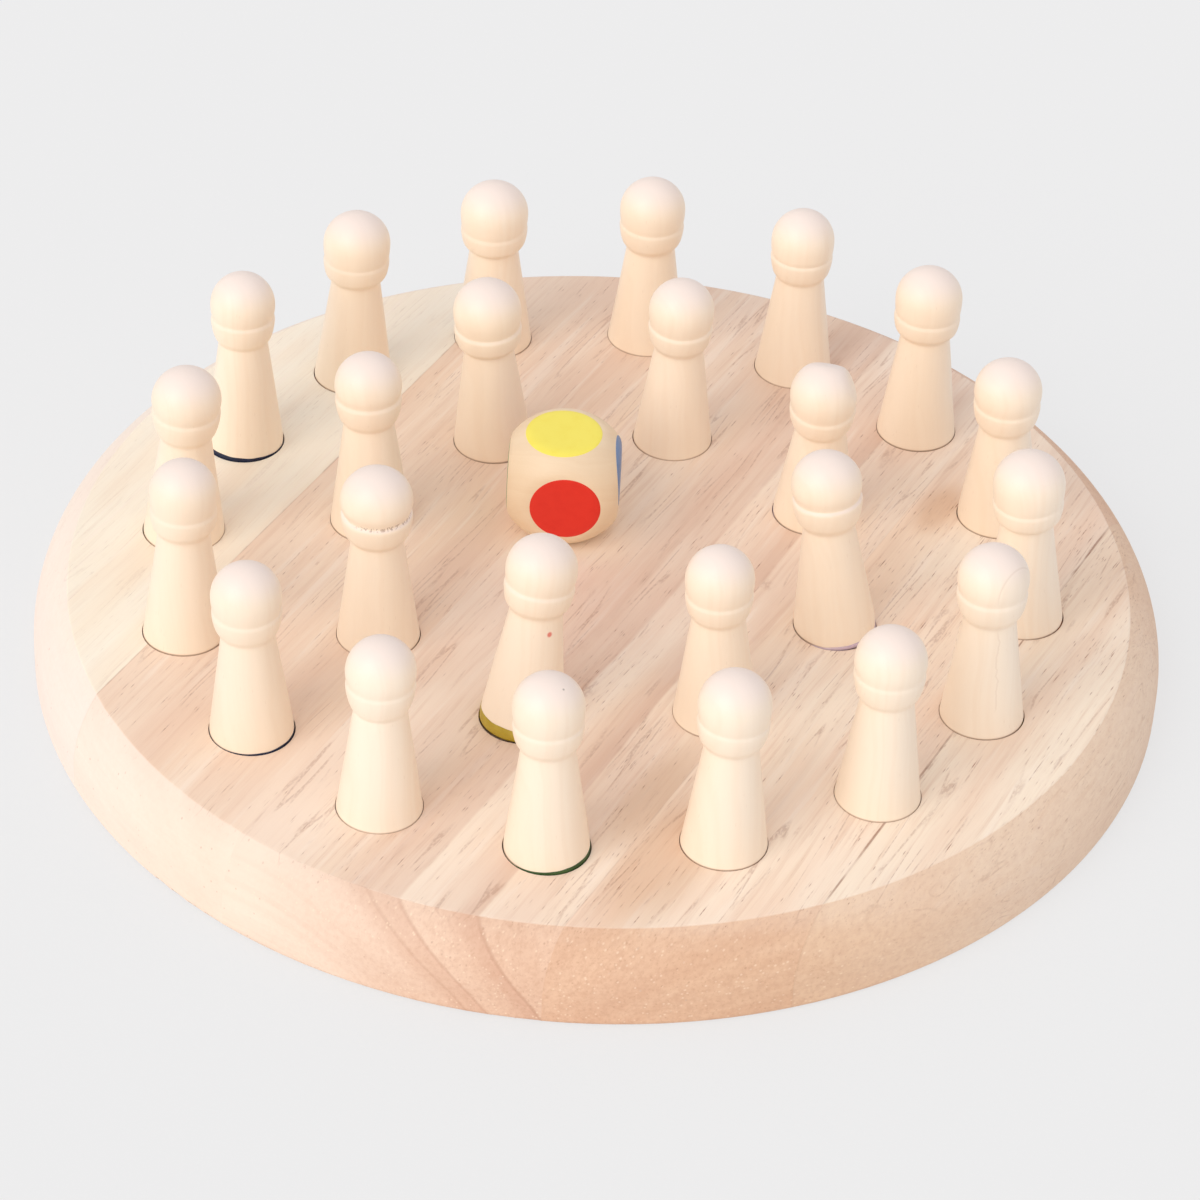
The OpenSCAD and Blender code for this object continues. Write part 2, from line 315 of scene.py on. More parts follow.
# Small round marks on two pegs: place, radius and colour
SPECKED_PEG = "outer_peg_12"
GREY_SPECK = ((2.97, -2.41, HEAD_H + 6.39), 0.32, rgb(176, 164, 152))
MARKED_PEG = "inner_peg_06"
RED_MARK = ((3.3, -4.95, 25.4), 0.8, rgb(224, 88, 76))

# Feet: the socket's radius, the gap round a nearly upright foot at its mouth, the most that one leans, and
# where the foot's flare starts below the mouth, is full, and ends above it
SOCKET_R = 9.2
MOUTH_GAP = 0.05
UPRIGHT_LEAN = math.radians(3.3)
FLARE_START = 0.7
FLARE_FULL = 0.3
FLARE_END = 0.1

# A foot's flat underside: how far its faces turn down, and how alike they face
DOWNWARD = -0.9
ALIKE = 0.99999

# Coats of paint on the feet, and those that show: height, slant and its heading
COAT_T = 0.1
COAT_SINK = 0.05
COAT_RIM_SHARE = 0.3
COAT_RAGGED = 0.12
COAT_WAVES = 4
COAT_BEND_STEP = 15
COAT_LEAST_RISE = 0.05
COAT_FIRST_SEED = 200
HIDDEN_DIP = 1.2
HIDDEN_SLANT = 0.15
SHOWN_COATS = {
    "outer_paint_01": (2.3, 0.5, 200),
    "outer_paint_12": (2.25, 0.55, -25),
    "outer_paint_14": (2.3, 0.35, -70),
    "inner_paint_04": (1.4, 0.2, -30),
    "inner_paint_06": (2.9, 0.2, 180),
}

# Die: half its size, the ball that rounds it, how crisp the edges between them are, and its wood
DIE_HALF = 12.48
DIE_BALL_R = 15.15
DIE_CRISPNESS = 36.0
DIE_GRID = 60
DIE_TURN = math.radians(-1)
DIE_RING_SLANT = 0.6
DIE_RING_WANDER = 9.0
DIE_BAND_STEPS = 0.4
DIE_WOOD = rgb(241, 217, 185)
DIE_BAND = rgb(234, 205, 169)
DIE_FIBRE = rgb(226, 196, 158)

# Dots of the die: slot, radius, offset on the side, and the turn from the top to that side
TOP_DOT_R = 8.5
DOT_R = 7.85
DOT_PROUD = 0.05
DOT_DEEP = 0.2
DOT_SIDES = 72
DOT_RINGS = 12
CROWN_STEPS = 40
DOTS = {
    "dot_top": ("paint_yellow", TOP_DOT_R, (-0.4, -0.8), "X", 0),
    "dot_front": ("paint_red", DOT_R, (0.8, 0.15), "X", 90),
    "dot_right": ("paint_blue", DOT_R, (-2.4, 0.0), "Y", 90),
    "dot_left": ("paint_green", DOT_R, (0.0, 0.0), "Y", -90),
    "dot_back": ("paint_purple", DOT_R, (0.0, 0.3), "X", -90),
    "dot_under": ("paint_orange", DOT_R, (0.2, 0.0), "X", 180),
}

# Paints of the dots and of the feet: where they are thick, and where they are thin
DOT_COLORS = {
    "paint_yellow": (rgb(250, 234, 99), rgb(248, 230, 91)),
    "paint_red": (rgb(228, 47, 31), rgb(224, 42, 27)),
    # Paler than the blue paint itself: partly painted sheen of a side seen at a grazing angle
    "paint_blue": (rgb(112, 140, 184), rgb(102, 131, 176)),
    "paint_green": (rgb(110, 150, 96), rgb(98, 140, 86)),
    "paint_purple": (rgb(150, 116, 166), rgb(138, 104, 154)),
    "paint_orange": (rgb(238, 132, 46), rgb(232, 122, 40)),
}
FOOT_COLORS = {
    "paint_red": (rgb(196, 44, 34), rgb(206, 66, 50)),
    "paint_yellow": (rgb(180, 154, 46), rgb(192, 168, 66)),
    "paint_green": (rgb(48, 76, 34), rgb(64, 92, 44)),
    # Darker than the navy paint itself: partly painted shade of the gap round the foot
    "paint_blue": (rgb(18, 26, 54), rgb(26, 38, 70)),
    "paint_purple": (rgb(206, 184, 198), rgb(216, 196, 206)),
    "paint_orange": (rgb(224, 120, 48), rgb(232, 140, 74)),
}

# Finishes: relief, gloss level and roughness, with the roughness that the pattern adds
BOARD_RELIEF = 0.06 * MM
BOARD_GLOSS = 0.3
BOARD_ROUGHNESS = 0.52
BOARD_ROUGHNESS_SPREAD = 0.15
FINE_RELIEF = 0.02 * MM
TURNED_GLOSS = 0.4
TURNED_ROUGHNESS = 0.42
PAINT_GLOSS = 0.4
PAINT_ROUGHNESS = 0.36
PAINT_ROUGHNESS_SPREAD = 0.12
PAINT_CLOUD_STEPS = 0.35
PAINT_SPECK_STEPS = 5.0


class Shader:
    """Nodes of a material or a world: a value that is a socket is linked, any other value is set."""

    def __init__(self, owner):
        owner.use_nodes = True
        self.owner = owner
        self.tree = owner.node_tree
        self.tree.nodes.clear()

    def put(self, socket, value):
        if isinstance(value, bpy.types.NodeSocket):
            self.tree.links.new(value, socket)
        else:
            socket.default_value = value

    def add(self, kind, inputs=(), **settings):
        node = self.tree.nodes.new("ShaderNode" + kind)
        for key, value in settings.items():
            setattr(node, key, value)
        for key, value in dict(inputs).items():
            self.put(node.inputs[key], value)
        return node

    def math(self, operation, a, b=0.0):
        return self.add("Math", {0: a, 1: b}, operation=operation).outputs[0]

    def times(self, a, b):
        return self.math("MULTIPLY", a, b)

    def plus(self, a, b):
        return self.math("ADD", a, b)

    def vector(self, operation, a, b):
        node = self.add("VectorMath", {0: a, 1: b}, operation=operation)
        return node.outputs["Value" if operation in ("DOT_PRODUCT", "DISTANCE") else "Vector"]

    def split(self, vector):
        return self.add("SeparateXYZ", {0: vector}).outputs

    def mapped(self, vector, scale=(1, 1, 1), offset=(0, 0, 0), turn=(0, 0, 0)):
        inputs = {"Vector": vector, "Location": offset, "Rotation": turn, "Scale": scale}
        return self.add("Mapping", inputs).outputs[0]

    def noise(self, vector, scale=1.0, detail=2.0, rough=0.5):
        inputs = {"Vector": vector, "Scale": scale, "Detail": detail, "Roughness": rough}
        return self.add("TexNoise", inputs).outputs[0]

    def noise_along(self, value, scale, detail=2.0, rough=0.5):
        inputs = {"W": value, "Scale": scale, "Detail": detail, "Roughness": rough}
        return self.add("TexNoise", inputs, noise_dimensions="1D").outputs[0]

    def pattern(self, vector, name):
        """One of the wood's noise patterns."""
        steps, offset, detail, rough = PATTERNS[name]
        return self.noise(self.mapped(vector, steps, offset), 1.0, detail, rough)

    def cells(self, vector):
        """Distance to the nearest cell's middle, and that cell's three random numbers."""
        node = self.add("TexVoronoi", {"Vector": vector, "Scale": 1.0})
        chances = self.add("SeparateColor", {0: node.outputs["Color"]})
        return node.outputs["Distance"], chances.outputs

    def ramp(self, value, low, high, to_low=0.0, to_high=1.0):
        inputs = {"Value": value, 1: low, 2: high, 3: to_low, 4: to_high}
        return self.add("MapRange", inputs, interpolation_type="SMOOTHSTEP").outputs[0]

    def mix(self, share, a, b):
        return self.add("Mix", {0: share, 6: a, 7: b}, data_type="RGBA").outputs[2]

    def over(self, color, layers):
        """The colour under layers of other colours, each with where it lies and how strong it is."""
        for place, strength, layer in layers:
            color = self.mix(self.times(place, strength), color, layer)
        return color

    def surface(self, color, rough, gloss, bump, bump_height):
        bumped = self.add("Bump", {"Height": bump, "Strength": 1.0, "Distance": bump_height})
        shader = self.add("BsdfPrincipled", {
            "Base Color": color, "Roughness": rough, "Specular IOR Level": gloss,
            "Normal": bumped.outputs[0],
        })
        return self.finish(shader.outputs[0])

    def finish(self, shader, output="OutputMaterial"):
        self.put(self.add(output).inputs["Surface"], shader)
        return self.owner


def material_nodes(name):
    return Shader(bpy.data.materials.new(name))


def board_grain(s, look, seed):
    """Places in a stave's wood, in millimetres, and how its surface cuts the grain."""
    coordinates = s.add("TexCoord")
    turn_back = (0, 0, -GRAIN_ANGLE)
    grain = s.mapped(coordinates.outputs["Object"], TO_MM, turn=turn_back)
    along, across, deep = s.split(grain)
    seeded = s.vector("ADD", grain, tuple(seed * step for step in SEED_STEPS))
    bend = s.times(s.plus(s.pattern(seeded, "bend"), -0.5), BEND_REACH)
    bent = s.vector("ADD", seeded, s.add("CombineXYZ", {1: bend}).outputs[0])

    pith_across, pith_deep = look["pith"]
    off_pith = s.plus(s.plus(across, bend), -pith_across)
    under_pith = s.plus(deep, -pith_deep)
    radius = s.math("SQRT", s.plus(s.times(off_pith, off_pith), s.times(under_pith, under_pith)))
    ring = s.plus(radius, seed * SEED_RING_STEP)

    normal = s.split(s.mapped(coordinates.outputs["Normal"], turn=turn_back))
    end_grain = s.ramp(s.times(normal[0], normal[0]), 0.03, 0.4)
    rim = s.ramp(normal[2], 0.985, 0.9)
    below_edge = s.ramp(normal[2], 0.94, 0.72)
    return SimpleNamespace(
        along=along, across=across, seeded=seeded, bend=bend, bent=bent, radius=radius, ring=ring,
        end_grain=end_grain, rim=rim, below_edge=below_edge)


def patch(s, grain, place, size):
    """1 in the middle of an oval patch of the board, falling to 0 at its edge."""
    u = s.times(s.plus(grain.along, -place[0]), 1 / size[0])
    v = s.times(s.plus(grain.across, -place[1]), 1 / size[1])
    return s.ramp(s.math("SQRT", s.plus(s.times(u, u), s.times(v, v))), 1.0, 0.3)


def vein_layers(s, grain, look):
    """Layers of the darker wood inside single growth rings, and of the veins along their edges."""
    if not look["veins"]:
        return [], []
    pith_across, pith_deep = look["pith"]
    broken = s.ramp(s.noise_along(grain.along, VEIN_BREAK_STEPS, 3.0), 0.45, 0.65, 0.1, 0.6)
    broken = s.math("MAXIMUM", broken, grain.end_grain)
    vein = 0.0
    shade = 0.0
    for place, width, strength in look["veins"]:
        reach = math.hypot(place - pith_across, BOARD_TOP_MM - pith_deep)
        beyond = s.plus(grain.radius, -reach)
        line = s.ramp(s.math("ABSOLUTE", beyond), width, width * 0.2)
        vein = s.math("MAXIMUM", s.times(line, s.times(broken, strength)), vein)
        inside = s.times(s.ramp(beyond, -VEIN_SHADE_REACH, 0.0), s.ramp(beyond, 0.3, -0.1))
        shade = s.math("MAXIMUM", s.times(inside, min(1.0, 3.8 * strength)), shade)
    return [(shade, 0.42, VEIN_SHADE)], [(vein, 1.0, VEIN_BROWN)]


def glue_lines(s, grain, look):
    """Lines where the stave meets its neighbours, worn in places and faint on the rim."""
    joint = 0.0
    for place, strength in look["glue"]:
        wavering = s.plus(grain.across, s.times(grain.bend, GLUE_BEND_SHARE))
        away = s.math("ABSOLUTE", s.plus(wavering, -place))
        left = s.ramp(s.noise_along(grain.along, GLUE_WEAR_STEPS, 3.0), 0.4, 0.6, 0.25 * strength, strength)
        faded = s.times(left, s.ramp(grain.rim, 0.0, 1.0, 1.0, 0.2))
        joint = s.math("MAXIMUM", s.times(s.ramp(away, GLUE_HALF_WIDTH, 0.08), faded), joint)
    return joint


def flecks(s, place, size, reach, odds, gather):
    """Drawn-out flecks of one size with a faint halo, more of them where they gather."""
    near, chance = s.cells(s.mapped(place, (1 / size[0], 1 / size[1], 1 / size[1])))
    present = s.ramp(s.plus(chance[0], s.times(gather, 0.5)), odds, odds + 0.06)
    strength = s.ramp(chance[1], 0.0, 1.0, 0.3, 1.0)
    halo = s.ramp(near, reach * 2.0, reach * 0.6, 0.0, 0.16)
    core = s.math("MAXIMUM", s.ramp(near, reach, reach * 0.3), halo)
    return s.times(s.times(core, present), strength)


def pores(s, grain, look):
    """Pores drawn out along the grain and gathered in patches, with fine threads between them."""
    gather = s.ramp(s.pattern(grain.bent, "gathering"), 0.34, 0.68)
    for place, size in look["porous"]:
        gather = s.math("MAXIMUM", gather, s.times(patch(s, grain, place, size), 1.5))
    pore = 0.0
    for size, reach, odds, strength in FLECKS:
        pore = s.math("MAXIMUM", pore, s.times(flecks(s, grain.bent, size, reach, odds, gather), strength))
    thread = s.ramp(s.math("ABSOLUTE", s.plus(s.pattern(grain.bent, "threads"), -0.5)), 0.05, 0.012)
    parted = s.ramp(s.pattern(grain.bent, "partings"), 0.5, 0.62)
    pore = s.math("MAXIMUM", pore, s.times(s.times(thread, parted), 0.4))
    ragged = s.ramp(s.pattern(grain.bent, "ragged"), 0.36, 0.58, 0.35, 1.0)
    rounded = s.times(grain.below_edge, s.ramp(grain.end_grain, 0.0, 0.8, 0.4, 1.0))
    flat = s.math("SUBTRACT", 1.0, rounded)
    return s.times(s.times(s.times(pore, ragged), flat), look["flecked"])


def end_color(s, grain, look, bands, speckled):
    """Colour of the end grain: bands along the rings, saw marks and clouds of open pores."""
    plain = s.mix(s.ramp(grain.across, *look["span"]), *look["end"])
    sawn = s.times(s.pattern(grain.seeded, "saw_marks"), 0.1)
    banded = s.plus(s.times(s.ramp(bands, 0.35, 0.65), 1.3 * look["rings"]), sawn)
    clouded = s.times(s.ramp(s.pattern(grain.seeded, "clouds"), 0.35, 0.72), speckled)
    return s.over(plain, [(banded, 1.0, END_BAND), (clouded, 0.42, END_CLOUD)])


def end_specks(s, grain, look):
    """Pale specks of the end grain, in bands along the rings, and a few dark ones."""
    near, chance = s.cells(s.mapped(grain.seeded, SPECK_STEPS))
    speck = s.times(s.ramp(near, 0.34, 0.12), grain.end_grain)
    banded = s.times(s.ramp(s.noise_along(grain.ring, SPECK_BAND_STEPS, 1.0), 0.35, 0.65), 0.4)
    odds = 1.3 - 0.5 * max(look["specks"])
    pale = s.times(speck, s.ramp(s.plus(chance[0], banded), odds, odds + 0.1))
    dark = s.times(speck, s.ramp(chance[1], 0.05, 0.02))
    return pale, dark


def board_wood(name, look, seed):
    """Pale hardwood: growth rings round a pith line along the grain, pores, veins and end grain."""
    s = material_nodes(name)
    grain = board_grain(s, look, seed)
    bands = s.noise_along(grain.ring, BAND_STEPS)
    lines = s.ramp(s.noise_along(grain.ring, LINE_STEPS, 1.0), 0.56, 0.76)
    streaks = s.pattern(grain.bent, "streaks")
    fibres = s.pattern(grain.bent, "fibres")
    mottle = s.pattern(grain.seeded, "mottle")
    tone = s.plus(s.times(bands, 0.45), s.times(streaks, 0.6))
    tone = s.ramp(s.plus(tone, s.times(mottle, 0.6)), 0.58, 1.1)

    pore = pores(s, grain, look)
    pale_speck, dark_speck = end_specks(s, grain, look)
    speckled = s.ramp(grain.across, *look["span"], *look["specks"])
    pitted = s.times(s.ramp(s.pattern(grain.seeded, "pits"), 0.58, 0.74), grain.rim)
    rim_share = s.times(grain.rim, s.ramp(grain.end_grain, 0.0, 0.8, 0.6, 0.88))
    end_share = s.math("MAXIMUM", s.times(grain.end_grain, 0.92), rim_share)
    shade_layers, line_layers = vein_layers(s, grain, look)

    color = s.over(s.mix(tone, look["light"], look["dark"]), [
        (s.ramp(s.pattern(grain.bent, "hues"), 0.48, 0.7), 0.35, HONEY),
        (s.ramp(grain.along, FAR_SIDE_FROM, FAR_SIDE_TO), 0.15, FAR_SIDE),
        (s.ramp(fibres, 0.45, 0.78), 0.1, FIBRE),
        (s.ramp(s.pattern(grain.bent, "dark_streaks"), 0.5, 0.72), 0.22 * look["flecked"], DARK_STREAK),
        (s.ramp(s.pattern(grain.bent, "pale_streaks"), 0.52, 0.72), 0.42, PALE_STREAK),
        (end_share, 1.0, end_color(s, grain, look, bands, speckled)),
        (lines, min(0.08, look["rings"]), RING_LINE),
        *shade_layers,
        *[(patch(s, grain, place, size), 0.55, PALE_PATCH) for place, size in look["pale"]],
        *[(patch(s, grain, place, size), 0.45, STAIN) for place, size in look["stains"]],
        *line_layers,
        (glue_lines(s, grain, look), 1.0, GLUE_BROWN),
        (pore, 0.8, PORE),
        (s.times(pitted, speckled), 0.24, PIT),
        (pale_speck, 0.42, PALE_SPECK),
        (dark_speck, 0.3, DARK_SPECK),
    ])
    height = s.math("SUBTRACT", s.times(fibres, 0.2), s.times(s.plus(pore, dark_speck), 0.25))
    rough = s.plus(BOARD_ROUGHNESS, s.times(streaks, BOARD_ROUGHNESS_SPREAD))
    return s.surface(color, rough, BOARD_GLOSS, height, BOARD_RELIEF)


def peg_wood(name, marks=()):
    """Pale turned wood: faint grain along the peg, pinkish end grain on the head with painted cool top
    light, fine turning marks.
    """
    s = material_nodes(name)
    place = s.add("Attribute", attribute_name="place").outputs["Vector"]
    tone = s.add("Attribute", attribute_name="tone", attribute_type="OBJECT").outputs["Fac"]
    shift = s.add("CombineXYZ", {i: s.times(tone, step) for i, step in enumerate(PEG_SEED_STEPS)})
    seeded = s.vector("ADD", place, shift.outputs[0])
    wander = s.pattern(seeded, "peg_wander")
    x, y, z = s.split(seeded)
    rings = s.plus(s.plus(x, s.times(y, PEG_RING_SLANT)), s.times(wander, PEG_RING_WANDER))
    bands = s.noise_along(rings, PEG_BAND_STEPS)
    fibres = s.pattern(seeded, "peg_fibres")
    near, chance = s.cells(s.mapped(seeded, PEG_PORE_STEPS))
    pore = s.times(s.ramp(near, 0.2, 0.1), s.ramp(chance[0], 0.86, 0.92))
    turning = s.noise_along(z, TURNING_STEPS)

    coordinates = s.add("TexCoord")
    upward = s.split(coordinates.outputs["Normal"])[2]
    level = s.split(s.mapped(coordinates.outputs["Object"], TO_MM))[2]
    # Painted contact shade: a brown band round the foot just above the board's top
    contact_shade = s.ramp(level, BOARD_TOP_MM + CONTACT_SHADE_NONE, BOARD_TOP_MM + CONTACT_SHADE_FULL)
    color = s.over(s.mix(tone, *PEG_TONES), [
        (s.ramp(bands, 0.35, 0.75), 0.5, PEG_BAND),
        (s.ramp(fibres, 0.45, 0.8), 0.05, PEG_FIBRE),
        (pore, 0.12, PEG_PORE),
        # Faces that look up: pinkish end grain, partly painted cool top light
        (s.ramp(upward, 0.2, 0.95), 0.8, PEG_END_GRAIN_AND_TOP_LIGHT),
        (contact_shade, 0.5, CONTACT_SHADE),
    ])
    for mark in marks:
        color = s.over(color, mark(s, place))
    height = s.plus(s.times(fibres, 0.25), s.times(turning, 0.3))
    return s.surface(color, TURNED_ROUGHNESS, TURNED_GLOSS, height, FINE_RELIEF)


def round_mark(s, place, middle, radius, color):
    away = s.vector("DISTANCE", place, middle)
    return [(s.ramp(away, radius, radius * 0.4), 0.8, color)]


def grey_speck(s, place):
    return round_mark(s, place, *GREY_SPECK)


def red_mark(s, place):
    return round_mark(s, place, *RED_MARK)


def body_line(s, place):
    """A wandering line up one side of a peg's body."""
    x, y, z = s.split(place)
    side = s.plus(s.times(x, -math.sin(BODY_LINE_HEADING)), s.times(y, math.cos(BODY_LINE_HEADING)))
    front = s.plus(s.times(x, math.cos(BODY_LINE_HEADING)), s.times(y, math.sin(BODY_LINE_HEADING)))
    wander = s.plus(s.noise_along(z, BODY_LINE_WANDER_STEPS, 3.0), -0.5)
    side = s.plus(side, s.times(wander, BODY_LINE_WANDER))
    line = s.ramp(s.math("ABSOLUTE", side), BODY_LINE_HALF_WIDTH, BODY_LINE_HALF_WIDTH * 0.25)
    line = s.times(line, s.ramp(front, 0.5, 1.5))
    ends = s.times(s.ramp(z, BODY_LINE_LOW, BODY_LINE_LOW + BODY_LINE_FADE), s.ramp(z, BODY_H, BODY_H - BODY_LINE_FADE))
    return [(s.times(line, ends), 0.12, BODY_LINE)]


def painted_dent_shade(s, place):
    """Painted shade of a shallow dent in a head: a line along its edge, and darker beyond it."""
    from_middle = s.vector("SUBTRACT", place, (0, 0, HEAD_H))
    away = s.plus(s.vector("DOT_PRODUCT", from_middle, DENT_WAY), -DENT_OUT)
    on_head = s.ramp(s.split(place)[2], HEAD_H - 3.0, HEAD_H + 2.0)
    edge = s.ramp(s.math("ABSOLUTE", away), DENT_WIDTH, 0.0)
    beyond = s.ramp(away, 0.0, 0.6)
    return [(s.times(edge, on_head), 0.22, DENT_EDGE_SHADE), (s.times(beyond, on_head), 0.12, DENT_SIDE_SHADE)]


def groove_mark(s, place):
    """A ragged dark line in the groove over the lip, on the front and right of the peg."""
    x, y, z = s.split(place)
    level = s.ramp(s.math("ABSOLUTE", s.plus(z, -GROOVE_MARK_H)), GROOVE_MARK_REACH, GROOVE_MARK_REACH * 0.4)
    facing = s.ramp(s.plus(s.times(x, 0.5), s.times(y, -0.87)), 2.0, 5.5)
    teeth = s.ramp(s.pattern(place, "peg_groove_teeth"), 0.5, 0.58)
    return [(s.times(s.times(level, facing), teeth), 0.55, GROOVE_MARK)]


def die_wood():
    """Pale wood with its grain along the die."""
    s = material_nodes("die_wood")
    place = s.add("Attribute", attribute_name="place").outputs["Vector"]
    wander = s.pattern(place, "die_wander")
    sides = s.split(place)
    rings = s.plus(s.plus(sides[2], s.times(sides[1], DIE_RING_SLANT)), s.times(wander, DIE_RING_WANDER))
    bands = s.noise_along(rings, DIE_BAND_STEPS, 3.0, 0.6)
    fibres = s.pattern(place, "die_fibres")
    color = s.over(DIE_WOOD, [
        (s.ramp(bands, 0.3, 0.75), 0.4, DIE_BAND),
        (s.ramp(fibres, 0.4, 0.8), 0.1, DIE_FIBRE),
    ])
    return s.surface(color, TURNED_ROUGHNESS, TURNED_GLOSS, fibres, FINE_RELIEF)


def paint(name, thick, thin):
    """Satin paint over wood, slightly uneven."""
    s = material_nodes(name)
    place = s.mapped(s.add("TexCoord").outputs["Object"], TO_MM)
    clouds = s.noise(place, PAINT_CLOUD_STEPS, 3.0, 0.6)
    specks = s.noise(place, PAINT_SPECK_STEPS, 2.0, 0.6)
    shade = s.mix(s.ramp(clouds, 0.4, 0.75), thick, thin)
    rough = s.plus(PAINT_ROUGHNESS, s.times(specks, PAINT_ROUGHNESS_SPREAD))
    return s.surface(shade, rough, PAINT_GLOSS, specks, FINE_RELIEF)


def paints(prefix, colors):
    """A paint for each slot of a set of colours, named by its use."""
    return {slot: paint(slot.replace("paint", prefix), *pair) for slot, pair in colors.items()}


def floor_paper():
    """Pale paper that looks nearly plain to the camera and keeps a weak shadow."""
    s = material_nodes("floor_paper")
    tooth = s.noise(s.add("TexCoord").outputs["Object"], FLOOR_TOOTH)
    bumped = s.add("Bump", {"Height": tooth, "Distance": FINE_RELIEF})
    paper = s.add("BsdfDiffuse", {"Color": FLOOR_COLOR, "Normal": bumped.outputs[0]})
    plain = s.add("Emission", {"Color": BACKGROUND, "Strength": 1.0})
    share = s.times(seen_rays(s), FLOOR_PLAIN_SHARE)
    both = s.add("MixShader", {0: share, 1: paper.outputs[0], 2: plain.outputs[0]})
    return s.finish(both.outputs[0])


def seen_rays(s):
    """1 for the rays that show the background: from the camera, or by way of gloss or glass."""
    rays = s.add("LightPath")
    clear = s.math("MAXIMUM", rays.outputs["Is Glossy Ray"], rays.outputs["Is Transmission Ray"])
    return s.math("MAXIMUM", rays.outputs["Is Camera Ray"], clear)


def put_on(piece, material):
    piece.data.materials.clear()
    piece.data.materials.append(material)


def direction(heading, height):
    """Unit vector towards a heading and a height, in degrees."""
    turn, rise = math.radians(heading), math.radians(height)
    return Vector((math.cos(rise) * math.cos(turn), math.cos(rise) * math.sin(turn), math.sin(rise)))


def dress_board():
    for seed, (stave, look) in enumerate(STAVES.items(), 1):
        put_on(frame["nodes"][stave], board_wood("wood_" + stave, look, float(seed)))


def arc(centre, radius, start, end):
    """Points of an arc in the half section, from one angle to another, in degrees."""
    count = max(2, math.ceil(abs(math.radians(end - start)) * radius / OUTLINE_STEP))
    turns = np.radians(np.linspace(start, end, count + 1))
    return [(centre[0] + radius * math.cos(t), centre[1] + radius * math.sin(t)) for t in turns]


def mouth_of(node, seat):
    """Radius and height at which a nearly upright bare foot fills the mouth of its socket, or nothing."""
    lean = seat.col[2].to_3d().angle(Vector((0, 0, 1)))
    if lean > UPRIGHT_LEAN or node.replace("peg", "paint") in SHOWN_COATS:
        return None
    rise = BOARD_TOP_MM - seat.translation.z / MM
    return SOCKET_R - MOUTH_GAP - rise * math.tan(lean), rise


def peg_outline(mouth, size, draw_in, lip_shift, neck_shift, groove):
    """Half section of a peg from the middle of its foot to the top of its head."""
    head_r = HEAD_R * size
    lip_r = LIP_R * size - LIP_INSET
    lip_h = LIP_H + lip_shift
    neck_h = BODY_H + neck_shift
    lip_edge_r = LIP_EDGE_R * groove
    curve_x = lip_r - COLLAR_CURVE_R
    reach = COLLAR_CURVE_R - COLLAR_EDGE_R
    drop = lip_h - neck_h - COLLAR_EDGE_R
    corner_x = curve_x + math.sqrt(reach ** 2 - drop ** 2)
    corner_angle = math.degrees(math.atan2(-drop, corner_x - curve_x))
    lip_angle = math.degrees(lip_edge_r / COLLAR_CURVE_R)
    outline = [(0.0, 0.0)]
    outline += arc((FOOT_R - FOOT_EDGE_R, FOOT_EDGE_R), FOOT_EDGE_R, -90, 0)
    if mouth:
        wide, rise = mouth
        outline += [(FOOT_R, rise - FLARE_START), (wide, rise - FLARE_FULL), (wide, rise + FLARE_END)]
    outline += [(FOOT_R, FOOT_H), (NECK_R, neck_h)]
    outline += arc((corner_x, neck_h + COLLAR_EDGE_R), COLLAR_EDGE_R, -90, corner_angle)
    outline += arc((curve_x, lip_h), COLLAR_CURVE_R, corner_angle, -lip_angle)
    outline += arc((lip_r - lip_edge_r, lip_h - lip_edge_r), lip_edge_r, 0, LIP_EDGE_TURN)
    low_r, low_h = head_r - draw_in, lip_h + HEAD_EDGE_R
    outline += arc((low_r - HEAD_EDGE_R, low_h), HEAD_EDGE_R, -HEAD_EDGE_TURN, 0)
    for share in np.linspace(0, 1, HEAD_SIDE_POINTS):
        outline.append((head_r - draw_in * (1 - share) ** 2, low_h + share * (HEAD_H - low_h)))
    outline += [(r * size, z) for r, z in arc((0.0, HEAD_H), HEAD_R, 0, 90)]
    return softened(outline, neck_h)


def softened(outline, neck_h):
    """The outline with its corners eased, most at the neck, and only the points that its shape needs."""
    points = np.array(outline)
    steps = np.hypot(*np.diff(points, axis=0).T)
    lengths = np.concatenate(([0], np.cumsum(steps)))
    even = np.arange(0, lengths[-1], OUTLINE_STEP)
    dense = np.stack([np.interp(even, lengths, points[:, i]) for i in (0, 1)], axis=1)
    crisp = smoothed(dense, OUTLINE_SOFTNESS)
    soft = smoothed(dense, NECK_SOFTNESS)
    share = np.exp(-((dense[:, 1:] - neck_h) / NECK_REACH) ** 2)
    eased = soft * share + crisp * (1 - share)
    eased[0, 0] = eased[-1, 0] = 0.0
    kept = [0]
    while kept[-1] < len(eased) - 1:
        kept.append(next_kept(eased, kept[-1]))
    return eased[kept]


def smoothed(dense, softness):
    """Evenly spaced points of an outline, averaged with their neighbours and mirrored at its ends."""
    reach = int(3 * softness / OUTLINE_STEP)
    weights = np.exp(-0.5 * (np.arange(-reach, reach + 1) * OUTLINE_STEP / softness) ** 2)
    weights /= weights.sum()
    mirrored = np.concatenate((dense[reach:0:-1] * (-1, 1), dense, dense[-2:-reach - 2:-1] * (-1, 1)))
    return np.stack([np.convolve(mirrored[:, i], weights, "valid") for i in (0, 1)], axis=1)


def next_kept(points, start):
    """Furthest point that a straight line from start reaches within the outline's tolerance."""
    end = start + 1
    while end + 1 < len(points):
        run = points[end + 1] - points[start]
        span = math.hypot(*run)
        offsets = points[start + 1:end + 1] - points[start]
        away = np.abs(offsets[:, 0] * run[1] - offsets[:, 1] * run[0]) / span
        if away.max() > OUTLINE_TOLERANCE or span > LONGEST_RING_GAP:
            return end
        end += 1
    return end


